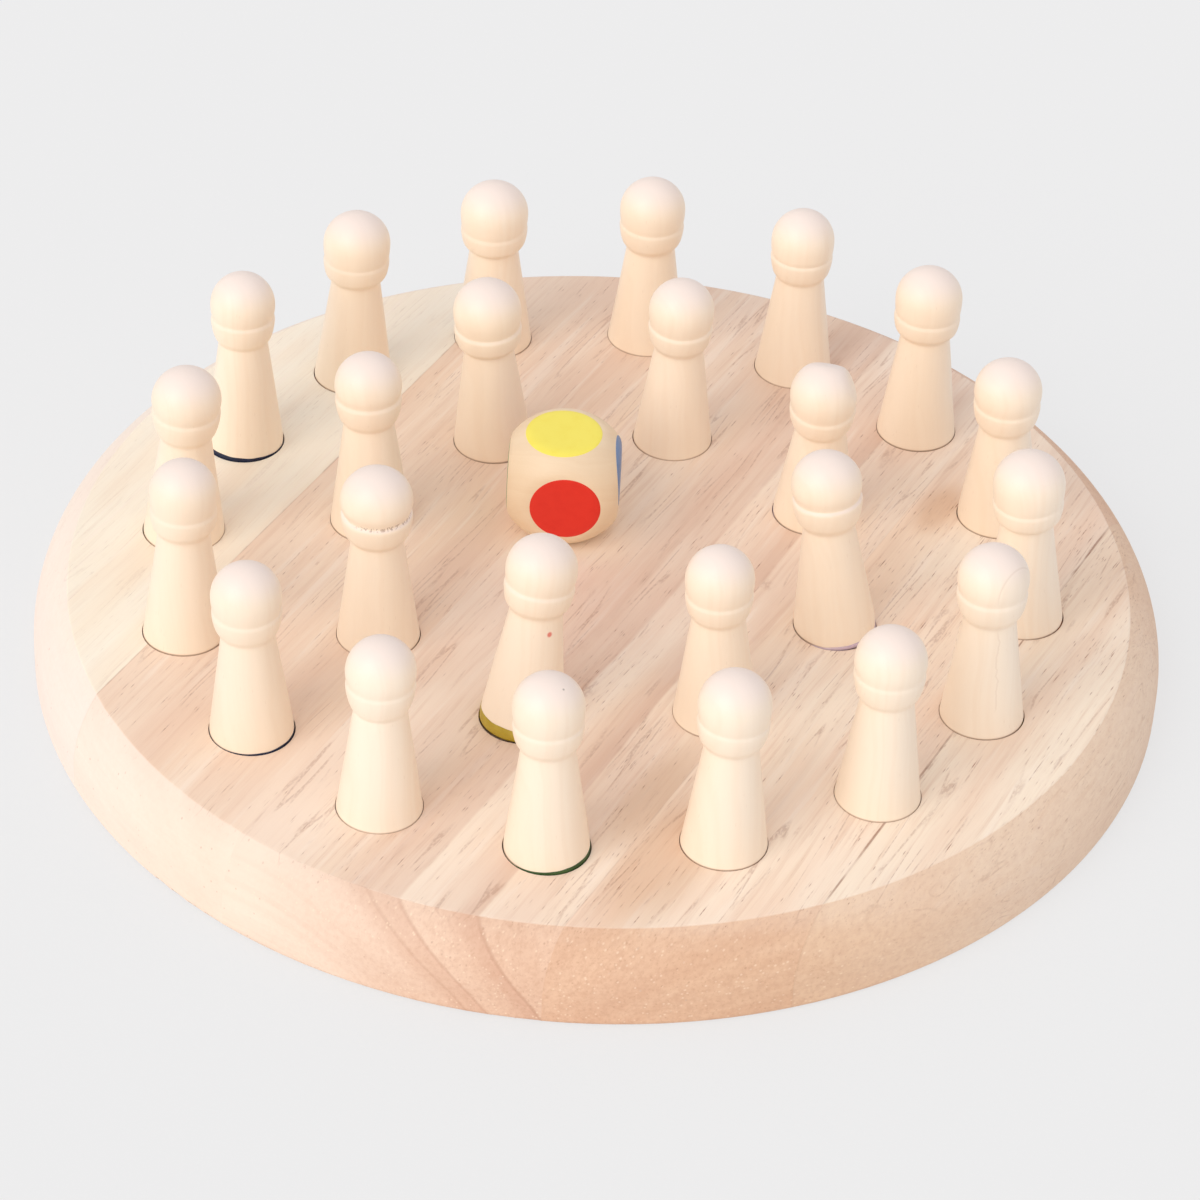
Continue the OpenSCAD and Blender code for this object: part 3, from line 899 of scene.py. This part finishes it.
def seat_of(node):
    """Matrix of a peg's seat: the middle of its flat underside, with +Z along the peg."""
    mesh = frame["nodes"][node].data
    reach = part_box(node)[0].z + FOOT_H * MM
    low = [p for p in mesh.polygons if p.normal.z < DOWNWARD and p.center.z < reach]
    down = max(low, key=lambda p: p.area).normal
    flat = [p for p in low if p.normal.dot(down) > ALIKE]
    axis = -sum((p.normal * p.area for p in flat), Vector()).normalized()
    area = sum(p.area for p in flat)
    middle = sum((p.center * p.area for p in flat), Vector()) / area
    turn = Vector((0, 0, 1)).rotation_difference(axis)
    return Matrix.Translation(middle) @ turn.to_matrix().to_4x4()


def worn(point):
    """A point of the worn head, pressed back to the flats that it stands out of."""
    centre = Vector((0, 0, HEAD_H))
    for heading, height in WORN_FLATS:
        facing = direction(heading, height)
        out = (point - centre).dot(facing) - (HEAD_R - WORN_DEPTH)
        if out > -3 * WORN_SOFTNESS:
            pressed = WORN_SOFTNESS * math.log1p(math.exp(out / WORN_SOFTNESS))
            point = point - facing * min(pressed, 2 * WORN_DEPTH)
    return point


def new_piece(name, places, faces, seat, node, material):
    """A smooth mesh piece made in its seat, which keeps its own coordinates for the grain."""
    mesh = bpy.data.meshes.new(name)
    mesh.from_pydata([seat @ (Vector(p) * MM) for p in places], [], faces)
    attribute = mesh.attributes.new("place", "FLOAT_VECTOR", "POINT")
    attribute.data.foreach_set("vector", np.array(places, dtype=np.float32).ravel())
    mesh.shade_smooth()
    piece = bpy.data.objects.new(name, mesh)
    bpy.context.scene.collection.objects.link(piece)
    put_on(piece, material)
    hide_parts(node)
    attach(piece, BODY_OF[node])
    return piece


def lathe_faces(rings, sides):
    """Faces of a closed turned form: rings of points, then its lower and upper middle points."""
    faces = []
    for lower in range(rings - 1):
        for side in range(sides):
            after = (side + 1) % sides
            faces.append((lower * sides + side, lower * sides + after,
                          (lower + 1) * sides + after, (lower + 1) * sides + side))
    last = (rings - 1) * sides
    for side in range(sides):
        after = (side + 1) % sides
        faces.append((rings * sides, after, side))
        faces.append((rings * sides + 1, last + side, last + after))
    return faces


def make_peg(node, number, material):
    """A hand-turned peg: its outline spun round, a little uneven."""
    rng = np.random.default_rng(number)
    seat = seat_of(node)
    neck_shift = rng.uniform(-NECK_SPREAD, NECK_SPREAD)
    groove = rng.uniform(*GROOVE_SPREAD)
    outline = peg_outline(mouth_of(node, seat), *HEAD_FORMS[node], neck_shift, groove)
    oval = rng.uniform(-OVAL_SPREAD, OVAL_SPREAD)
    tilt = rng.uniform(-LIP_TILT_SPREAD, LIP_TILT_SPREAD)
    heading = rng.uniform(0, 2 * math.pi)
    tone = float(rng.uniform(0, 1))
    places = []
    for r, z in outline[1:-1]:
        for side in range(PEG_SIDES):
            angle = 2 * math.pi * side / PEG_SIDES
            x, y = math.cos(angle), math.sin(angle)
            uneven = noise.noise((x * UNEVEN_ROUND + number, y * UNEVEN_ROUND, z * UNEVEN_ALONG))
            wide = r * (1 + oval * math.cos(2 * angle)) + UNEVENNESS * uneven * min(1.0, r / UNEVEN_FULL_R)
            lift = tilt * r * math.cos(angle - heading) * math.exp(-((z - LIP_H) / LIP_TILT_REACH) ** 2)
            point = Vector((wide * x, wide * y, z + lift))
            places.append(worn(point) if node == WORN_PEG and z > LIP_H + LIP_EDGE_R else point)
    top = Vector((0, 0, outline[-1][1]))
    places += [Vector((0, 0, outline[0][1])), worn(top) if node == WORN_PEG else top]
    faces = lathe_faces(len(outline) - 2, PEG_SIDES)
    piece = new_piece("turned_" + node, places, faces, seat, node, material)
    piece["tone"] = tone


def make_pegs():
    wood = peg_wood("peg_wood")
    special = {
        LINED_PEG: peg_wood("peg_wood_cracked", [body_line, painted_dent_shade]),
        SPECKED_PEG: peg_wood("peg_wood_specked", [grey_speck]),
        GROOVE_MARK_PEG: peg_wood("peg_wood_groove_mark", [groove_mark]),
        MARKED_PEG: peg_wood("peg_wood_rubbed", [red_mark]),
    }
    nodes = sorted(n for n in frame["nodes"] if "_peg_" in n)
    for number, node in enumerate(nodes):
        make_peg(node, number, special.get(node, wood))


def die_point(way):
    """Point of the tumbled die's surface in one direction from its middle: a cube cut by a ball."""
    sides = sum((abs(v) / DIE_HALF) ** DIE_CRISPNESS for v in way)
    ball = (way.length / DIE_BALL_R) ** DIE_CRISPNESS
    return way / (sides + ball) ** (1 / DIE_CRISPNESS)


def make_die():
    """The die as one smooth closed form, with a dot of paint on each side."""
    low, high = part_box("die")
    middle = Vector(((low.x + high.x) / 2, (low.y + high.y) / 2, (low.z + high.z) / 2))
    seat = Matrix.Translation(middle) @ Matrix.Rotation(DIE_TURN, 4, "Z")
    bm = bmesh.new()
    bmesh.ops.create_cube(bm, size=2.0)
    bmesh.ops.subdivide_edges(bm, edges=bm.edges[:], cuts=DIE_GRID - 1, use_grid_fill=True)
    for vertex in bm.verts:
        vertex.co = die_point(Vector([math.tan(v * math.pi / 4) for v in vertex.co]))
    bm.verts.index_update()
    places = [v.co.copy() for v in bm.verts]
    faces = [[v.index for v in face.verts] for face in bm.faces]
    bm.free()
    new_piece("tumbled_die", places, faces, seat, "die", die_wood())

    dot_paints = paints("dot", DOT_COLORS)
    for node, (slot, radius, off, axis, angle) in DOTS.items():
        places = dot_points(radius, off, Matrix.Rotation(math.radians(angle), 3, axis))
        faces = lathe_faces(len(places) // DOT_SIDES, DOT_SIDES)
        new_piece("painted_" + node, places, faces, seat, node, dot_paints[slot])


def dot_points(radius, off, turn):
    """A thin round coat that follows the side of the die, from its hidden back to its domed face."""
    shares = [(DOT_RINGS - i) / DOT_RINGS for i in range(DOT_RINGS)]
    rings = [(share * radius, -DOT_DEEP) for share in shares[::-1]]
    rings += [(radius, DOT_PROUD * 0.3), (radius - DOT_PROUD, DOT_PROUD * 0.8)]
    rings += [(share * radius, DOT_PROUD) for share in shares[1:]]
    places = []
    for r, proud in rings + [(0.0, -DOT_DEEP), (0.0, DOT_PROUD)]:
        for side in range(DOT_SIDES if r > 0 else 1):
            angle = 2 * math.pi * side / DOT_SIDES
            flat = Vector((r * math.cos(angle) + off[0], r * math.sin(angle) + off[1], 0))
            places.append(turn @ (crown(flat) + Vector((0, 0, proud))))
    return places


def crown(flat):
    """Point of the die's top side over a point of its middle plane."""
    low, high = 0.0, DIE_HALF
    for _ in range(CROWN_STEPS):
        point = Vector((flat.x, flat.y, (low + high) / 2))
        if point.length < die_point(point).length:
            low = point.z
        else:
            high = point.z
    return point


def make_coats():
    """Paint on each foot, with a hand-dipped edge that runs a little uneven and slanted."""
    foot_paints = paints("foot", FOOT_COLORS)
    rows = [row for row in frame["record"]["subparts"] if "_paint_" in row["node"]]
    for number, row in enumerate(rows):
        node, slot = row["node"], row["material_slot"]
        rng = np.random.default_rng(COAT_FIRST_SEED + number)
        hidden = (HIDDEN_DIP, rng.uniform(0, HIDDEN_SLANT), rng.uniform(0, 360))
        dip, slant, heading = SHOWN_COATS.get(node, hidden)
        places, rings = coat_points(dip, slant, math.radians(heading), number)
        seat = seat_of(node.replace("paint", "peg"))
        faces = lathe_faces(rings, PEG_SIDES)
        new_piece("dipped_" + node, places, faces, seat, node, foot_paints[slot])


def coat_points(dip, slant, heading, number):
    """Rings of a thin cup round the foot: up its outside, over the rim and down its hidden inside."""
    side_r = FOOT_R + COAT_T
    edge_r = FOOT_EDGE_R + COAT_T
    hidden_r = FOOT_EDGE_R - COAT_SINK
    rim_r = FOOT_R + COAT_RIM_SHARE * COAT_T
    corner = FOOT_R - FOOT_EDGE_R
    bend = [math.radians(a) for a in range(-90, 1, COAT_BEND_STEP)]
    outside = [(corner + edge_r * math.cos(a), FOOT_EDGE_R + edge_r * math.sin(a), 0.0) for a in bend]
    inside = [(corner + hidden_r * math.cos(a), FOOT_EDGE_R + hidden_r * math.sin(a), 0.0) for a in bend]
    rim = [
        (side_r, FOOT_EDGE_R - COAT_SINK, 1.0), (rim_r, FOOT_EDGE_R + COAT_SINK, 1.0),
        (FOOT_R - COAT_SINK, FOOT_EDGE_R, 1.0),
    ]
    rings = outside + rim + inside[::-1]
    places = []
    for r, z, follows in rings:
        for side in range(PEG_SIDES):
            angle = 2 * math.pi * side / PEG_SIDES
            x, y = math.cos(angle), math.sin(angle)
            wave = COAT_RAGGED * noise.noise((x * COAT_WAVES + number, y * COAT_WAVES, 0.5))
            rise = max(COAT_LEAST_RISE, dip + slant * math.cos(angle - heading) + wave - FOOT_EDGE_R)
            places.append(Vector((r * x, r * y, z + rise * follows)))
    return places + [Vector((0, 0, -COAT_T)), Vector((0, 0, COAT_SINK))], len(rings)


def make_stage():
    bpy.ops.mesh.primitive_grid_add(x_subdivisions=FLOOR_GRID, y_subdivisions=FLOOR_GRID, size=FLOOR_SIZE)
    floor = bpy.context.object
    floor.name = "floor"
    put_on(floor, floor_paper())


def make_light():
    world = bpy.data.worlds.new("studio")
    bpy.context.scene.world = world
    s = Shader(world)
    dome = s.add("Background", {"Color": DOME_COLOR, "Strength": DOME_LEVEL})
    plain = s.add("Background", {"Color": BACKGROUND, "Strength": 1.0})
    both = s.add("MixShader", {0: seen_rays(s), 1: dome.outputs[0], 2: plain.outputs[0]})
    s.finish(both.outputs[0], "OutputWorld")

    for name, (color, level, softness, heading, height) in LAMPS.items():
        lamp = bpy.data.lights.new(name, "SUN")
        lamp.energy = level
        lamp.color = color
        lamp.angle = math.radians(softness)
        holder = bpy.data.objects.new(name, lamp)
        bpy.context.scene.collection.objects.link(holder)
        holder.rotation_mode = "QUATERNION"
        holder.rotation_quaternion = direction(heading, height).to_track_quat("Z", "Y")


def make_camera():
    data = bpy.data.cameras.new("camera")
    data.sensor_width = CAMERA_SENSOR
    data.lens = CAMERA_LENS
    data.clip_start = CAMERA_NEAR
    data.clip_end = CAMERA_FAR
    camera = bpy.data.objects.new("camera", data)
    bpy.context.scene.collection.objects.link(camera)
    back = Vector((0, -math.cos(CAMERA_ELEVATION), math.sin(CAMERA_ELEVATION)))
    top = Vector((0, 0, BOARD_TOP))
    camera.location = top + back * CAMERA_DISTANCE
    look = (top + CAMERA_AIM - camera.location).to_track_quat("-Z", "Y")
    camera.rotation_mode = "QUATERNION"
    camera.rotation_quaternion = look @ Matrix.Rotation(CAMERA_ROLL, 3, "Z").to_quaternion()
    bpy.context.scene.camera = camera


bpy.context.scene.view_settings.view_transform = "Standard"
make_camera()
make_light()
make_stage()
dress_board()
make_pegs()
make_die()
make_coats()
